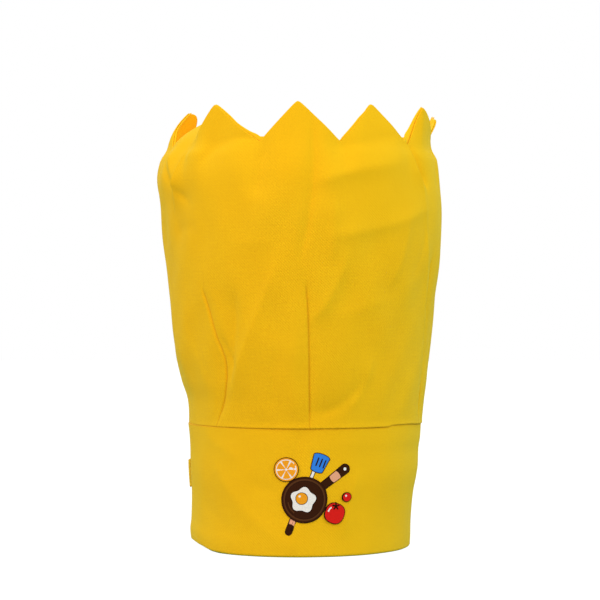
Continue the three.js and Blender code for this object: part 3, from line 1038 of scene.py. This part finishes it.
# How much the ribs, yarns and fluff of the cloth darken it and stand out of it, how the grain
# calms down between two heights, in metres, and how fine a yarn is across and along itself
SHADOW = {"base": 0.23, "ribs": 0.22, "yarns": 0.5, "fluff": 1.0}
RELIEF = {"ribs": 0.5, "yarns": 0.8, "fluff": 0.5}
CALM = {"start": 0.19, "end": 0.3, "low": 1.1, "high": 0.4}
WANDER = {"scale": 0.12, "size": 1.2}
YARN = (0.9, 0.06)
WARM_TINT = (0.985, 0.94, 0.7)
# How much of the painted shade of seams, dart lines and overlaps darkens the cloth's colour
PAINTED_SEAM_SHADE = 0.6
SHEEN_TINT = (0.9, 1.0, 0.25, 1)


def cloth_material(name, colour, deep, twill=1.4, fuzz=1.0):
    """Cotton twill: diagonal ribs, uneven yarns, soft blotches, and a deeper tone in seams, dart
    lines and overlaps that is painted shade.
    """
    n = Nodes(name)
    weave = n.add("UVMap", uv_map="weave")
    place = n.add("TexCoord", output=3)
    split = n.tree.nodes.new("ShaderNodeSeparateXYZ")
    n.link(weave, split.inputs[0])
    height = n.add("SeparateXYZ", {0: place}, output=2)
    wander = n.noise(weave, scale=WANDER["scale"])
    diagonal = n.math("ADD", split.outputs[0], split.outputs[1])
    diagonal = n.math("ADD", diagonal, n.math("MULTIPLY", wander, WANDER["size"]))
    ribs = n.math("SINE", n.math("MULTIPLY", diagonal, 2 * math.pi / (twill * math.sqrt(2))))
    ribs = n.math("MULTIPLY_ADD", ribs, 0.5, 0.5)
    warp, weft = (
        n.noise(n.scaled(weave, *scales), scale=1.0, detail=3.0, roughness=0.6)
        for scales in (YARN, YARN[::-1])
    )
    yarns = n.math("MULTIPLY", n.math("ADD", warp, weft), 0.5)
    fluff = n.noise(weave, scale=0.8, detail=4.0, roughness=0.75)
    blotch = n.noise(place, scale=16.0, detail=2.0, roughness=0.5)
    tone = n.ranged(blotch, start=0.3, end=0.7, low=0.0, high=1.0)
    warm = tuple(c * f for c, f in zip(colour, WARM_TINT)) + (1,)
    base = n.mix(tone, (*colour, 1), warm)
    low, high = CALM["low"] * fuzz, CALM["high"] * fuzz
    calm = n.ranged(height, start=CALM["start"], end=CALM["end"], low=low, high=high)
    shadow = 0.0
    relief = 0.0
    for part, grain in ("ribs", ribs), ("yarns", yarns), ("fluff", fluff):
        shadow = n.math("MULTIPLY_ADD", n.math("SUBTRACT", grain, 0.5), SHADOW[part], shadow)
        relief = n.math("MULTIPLY_ADD", grain, RELIEF[part], relief)
    shadow = n.math("MULTIPLY_ADD", shadow, calm, SHADOW["base"])
    base = n.mix(n.add("Clamp", {0: shadow}), base, (*deep, 1))
    # Painted shade: the seam attribute darkens the colour where shade falls in seams, dart lines
    # and overlaps
    seam = n.add("Attribute", output=2, attribute_name="seam")
    base = n.mix(n.math("MULTIPLY", seam, PAINTED_SEAM_SHADE), base, (*SHADE_YELLOW, 1))
    n.link(base, n.shader.inputs["Base Color"])
    n.bumped(n.math("MULTIPLY", relief, calm), strength=0.8, distance=0.0002)
    n.set(Roughness=0.88, Specular_IOR_Level=0.06)
    n.set(Sheen_Weight=0.16, Sheen_Roughness=0.45, Sheen_Tint=SHEEN_TINT)
    return n.material


def ink_material(name, colour):
    """Matte screen-printed ink, which lets the weave show a little."""
    n = Nodes("ink_" + name)
    weave = n.add("UVMap", uv_map="weave")
    grain = n.noise(weave, scale=1.1, detail=3.0, roughness=0.6)
    shade = n.ranged(grain, start=0.3, end=0.7, low=0.88, high=1.08)
    tint = n.add("VectorMath", {0: colour, 3: shade}, operation="SCALE")
    n.link(tint, n.shader.inputs["Base Color"])
    n.bumped(grain, strength=0.4, distance=0.0001)
    n.set(Roughness=0.8, Specular_IOR_Level=0.08)
    return n.material


INKS = {
    "dark": (0.02, 0.005, 0.001),
    "brown": (0.036, 0.009, 0.0015),
    "rim": (0.085, 0.03, 0.008),
    "orange": (0.83, 0.34, 0.012),
    "pink": (0.76, 0.37, 0.21),
    "red": (0.66, 0.012, 0.008),
    "white": (0.8, 0.8, 0.74),
    "blue": (0.03, 0.21, 0.72),
}
YELLOW = (0.88, 0.54, 0.0075)
# The next colour is the one that the grain darkens towards, and the colour of the painted shade in
# seams, dart lines and overlaps
SHADE_YELLOW = (0.62, 0.29, 0.004)
# The lining is the same cloth as the crown. Its two colours are set brighter and more orange than
# the outer cloth's: painted light, for light that shines through the cloth and bounces inside the
# points.
LIT_LINING_YELLOW = (0.98, 0.59, 0.012)
LIT_DEEP_LINING = (0.8, 0.42, 0.006)
# The tape's paler, greener yellow is partly its own colour and partly painted sheen, as its strip
# is seen at a grazing angle.
TAPE_YELLOW = (0.8, 0.66, 0.045)


# A level camera far in front of the hat, in millimetres
CAMERA = {"x": 1.09, "back": 2000, "z": 177, "lens": 165.72, "sensor": 36}


def make_camera():
    data = bpy.data.cameras.new("camera")
    data.sensor_width = CAMERA["sensor"]
    data.lens = CAMERA["lens"]
    made = bpy.data.objects.new("camera", data)
    made.location = (CAMERA["x"] * MM, -CAMERA["back"] * MM, CAMERA["z"] * MM)
    made.rotation_euler = (math.radians(90), 0, 0)
    bpy.context.scene.collection.objects.link(made)
    bpy.context.scene.camera = made


def aimed(name, data, place):
    made = bpy.data.objects.new(name, data)
    made.location = place
    aim = Vector(LIT_PLACE) - Vector(place)
    made.rotation_euler = aim.to_track_quat("-Z", "Y").to_euler()
    bpy.context.scene.collection.objects.link(made)


def soft_light(name, place, watts, colour):
    data = bpy.data.lights.new(name, "AREA")
    data.shape = "RECTANGLE"
    data.size, data.size_y = SOFT_SIZE
    data.energy = watts
    data.color = colour
    aimed(name, data, place)


def sun_light(name, place, spread, strength, colour):
    """A far, wide light that falls evenly on the whole floor."""
    data = bpy.data.lights.new(name, "SUN")
    data.angle = math.radians(spread)
    data.energy = strength
    data.color = colour
    aimed(name, data, place)


# The lights, in metres, and the place that they are turned to
LIT_PLACE = (0, 0, 0.16)
WORLD_LIGHT = (0.83, 1.1, 1.1)
WARM_LIGHT = (1.0, 0.39, 0.39)
SUNS = {
    "front": {"place": (0, -1, 0.4), "spread": 40, "strength": 1.19, "colour": WARM_LIGHT},
    "back": {"place": (0, 1, 0.5), "spread": 40, "strength": 0.95, "colour": WARM_LIGHT},
}
SOFT_SIZE = (0.9, 1.2)
SOFT_LIGHTS = {
    "left": {"place": (-1.7, -0.9, 0.9), "watts": 13.9, "colour": (1.0, 0.49, 0.49)},
    "right": {"place": (1.7, -0.9, 0.9), "watts": 9.6, "colour": (1.0, 0.82, 0.82)},
}
FLOOR_HALF = 6.0
FLOOR_DROP = 0.3
FLOOR_COLOUR = (0.1, 0.1, 0.1)
FLOOR_GLOW = (0.06, 0.25, 0.25)


def make_stage():
    """A white floor in a white room with large soft lights."""
    world = bpy.data.worlds.new("white_room")
    bpy.context.scene.world = world
    world.use_nodes = True
    nodes, links = world.node_tree.nodes, world.node_tree.links
    backdrop = nodes["Background"]
    backdrop.inputs["Color"].default_value = grey(1.0)
    around = nodes.new("ShaderNodeBackground")
    around.inputs["Color"].default_value = (*WORLD_LIGHT, 1)
    path = nodes.new("ShaderNodeLightPath")
    mixed = nodes.new("ShaderNodeMixShader")
    links.new(path.outputs["Is Camera Ray"], mixed.inputs[0])
    links.new(around.outputs[0], mixed.inputs[1])
    links.new(backdrop.outputs[0], mixed.inputs[2])
    links.new(mixed.outputs[0], nodes["World Output"].inputs["Surface"])

    mesh = bpy.data.meshes.new("floor")
    sides = ((-1, -1), (1, -1), (1, 1), (-1, 1))
    corners = [(FLOOR_HALF * x, FLOOR_HALF * y, 0) for x, y in sides]
    mesh.from_pydata(corners, [], [(0, 1, 2, 3)])
    floor = bpy.data.objects.new("floor", mesh)
    floor.location.z = -FLOOR_DROP * MM
    bpy.context.scene.collection.objects.link(floor)
    n = Nodes("floor_white")
    n.set(Base_Color=(*FLOOR_COLOUR, 1), Roughness=1.0, Specular_IOR_Level=0.0)
    seen = n.add("LightPath", output=0)
    n.link(n.mix(seen, (*FLOOR_GLOW, 1), grey(1.0)), n.shader.inputs["Emission Color"])
    n.set(Emission_Strength=1.0)
    mesh.materials.append(n.material)

    for name, light in SUNS.items():
        sun_light(name, **light)
    for name, light in SOFT_LIGHTS.items():
        soft_light(name, **light)
    view = bpy.context.scene.view_settings
    view.view_transform = "Standard"
    view.look = "None"


make_camera()
make_stage()

cloth = cloth_material("yellow_twill", YELLOW, SHADE_YELLOW)
band_cloth = cloth_material("band_twill", YELLOW, SHADE_YELLOW, fuzz=0.75)
# The lining's brighter colours are painted light
lit_lining = cloth_material("lit_lining_twill", LIT_LINING_YELLOW, LIT_DEEP_LINING, fuzz=0.6)
tape_cloth = cloth_material("loop_tape", TAPE_YELLOW, SHADE_YELLOW, twill=2.0)

crown = crown_object(cloth)
facing = facing_object(lit_lining)
panel = panel_object(lit_lining)
headband = headband_object(band_cloth)
tape = tape_object(tape_cloth)
front_print = print_object({name: ink_material(name, ink) for name, ink in INKS.items()})

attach(front_print, "root")
for piece, node, slot in (
    (crown, "crown", "crown_cloth"),
    (facing, "point_facing", "lining_cloth"),
    (panel, "top_panel", "lining_cloth"),
    (headband, "headband", "crown_cloth"),
    (tape, "closure_tape", "loop_tape"),
):
    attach(piece, "root")
    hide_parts(node)
